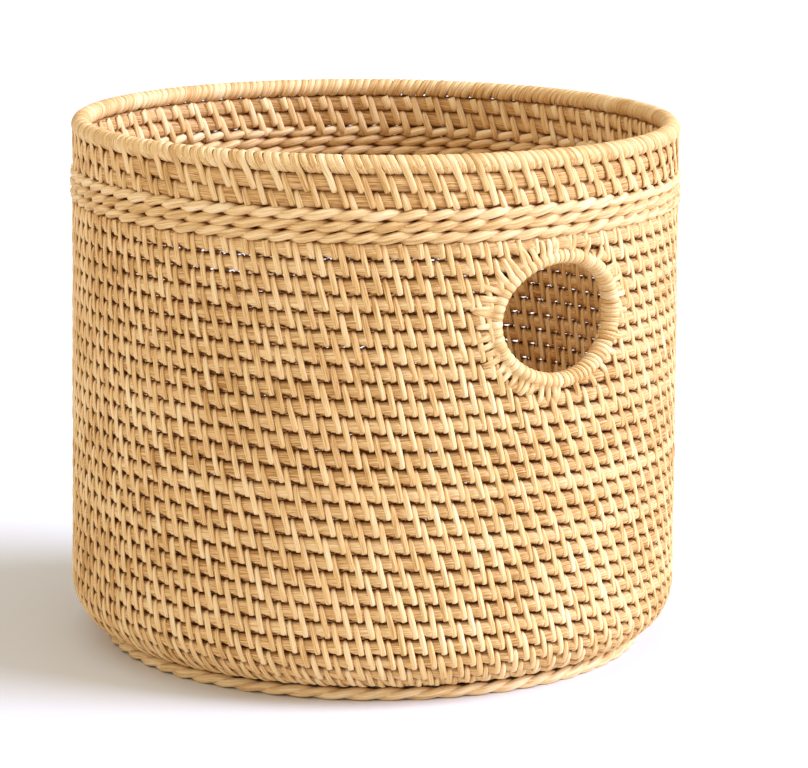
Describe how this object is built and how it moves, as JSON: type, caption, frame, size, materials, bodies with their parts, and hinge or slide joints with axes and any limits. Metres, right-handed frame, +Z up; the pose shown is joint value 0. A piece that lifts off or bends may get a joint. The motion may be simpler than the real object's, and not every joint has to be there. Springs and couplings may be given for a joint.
{
  "type": "storage basket",
  "caption": "Round open-top storage basket of coiled and lashed rattan, with a twisted band under a wrapped rim and wrapped round grip holes.",
  "frame": {"origin": "centre of the resting plane under the foot rope, on the basket's centre line", "axes": "+Z up along the basket's centre line; the two grip holes face +X and -X"},
  "size_m": [0.4, 0.4, 0.344],
  "materials": {
    "core_cane": "natural rattan core, clear matt lacquer",
    "binder_peel": "natural rattan peel, soft satin",
    "twisted_cane": "natural rattan strands, soft satin"
  },
  "bodies": {
    "root": {"band_rope_1": "twisted_cane", "band_rope_2": "twisted_cane", "band_rope_3": "twisted_cane", "base_button": "core_cane", "base_coil_01": "core_cane", "base_coil_02": "core_cane", "base_coil_03": "core_cane", "base_coil_04": "core_cane", "base_coil_05": "core_cane", "base_coil_06": "core_cane", "base_coil_07": "core_cane", "base_coil_08": "core_cane", "base_coil_09": "core_cane", "base_coil_10": "core_cane", "base_coil_11": "core_cane", "base_coil_12": "core_cane", "base_coil_13": "core_cane", "base_coil_14": "core_cane", "base_coil_15": "core_cane", "base_coil_16": "core_cane", "base_coil_17": "core_cane", "foot_rope": "twisted_cane", "grip_core_left": "core_cane", "grip_core_right": "core_cane", "grip_wrap_left": "binder_peel", "grip_wrap_right": "binder_peel", "rim_core": "core_cane", "rim_wrap": "binder_peel", "upper_coil_1": "core_cane", "upper_coil_2": "core_cane", "wall_coil_01": "core_cane", "wall_coil_02": "core_cane", "wall_coil_03": "core_cane", "wall_coil_04": "core_cane", "wall_coil_05": "core_cane", "wall_coil_06": "core_cane", "wall_coil_07": "core_cane", "wall_coil_08": "core_cane", "wall_coil_09": "core_cane", "wall_coil_10": "core_cane", "wall_coil_11": "core_cane", "wall_coil_12": "core_cane", "wall_coil_13": "core_cane", "wall_coil_14": "core_cane", "wall_coil_15": "core_cane", "wall_coil_16": "core_cane", "wall_coil_17": "core_cane", "wall_coil_18": "core_cane", "wall_coil_19": "core_cane", "wall_coil_20": "core_cane", "wall_coil_21": "core_cane", "wall_coil_22": "core_cane", "wall_coil_23": "core_cane", "wall_coil_24": "core_cane", "wall_coil_25": "core_cane", "wall_coil_26": "core_cane"}
  },
  "joints": []
}
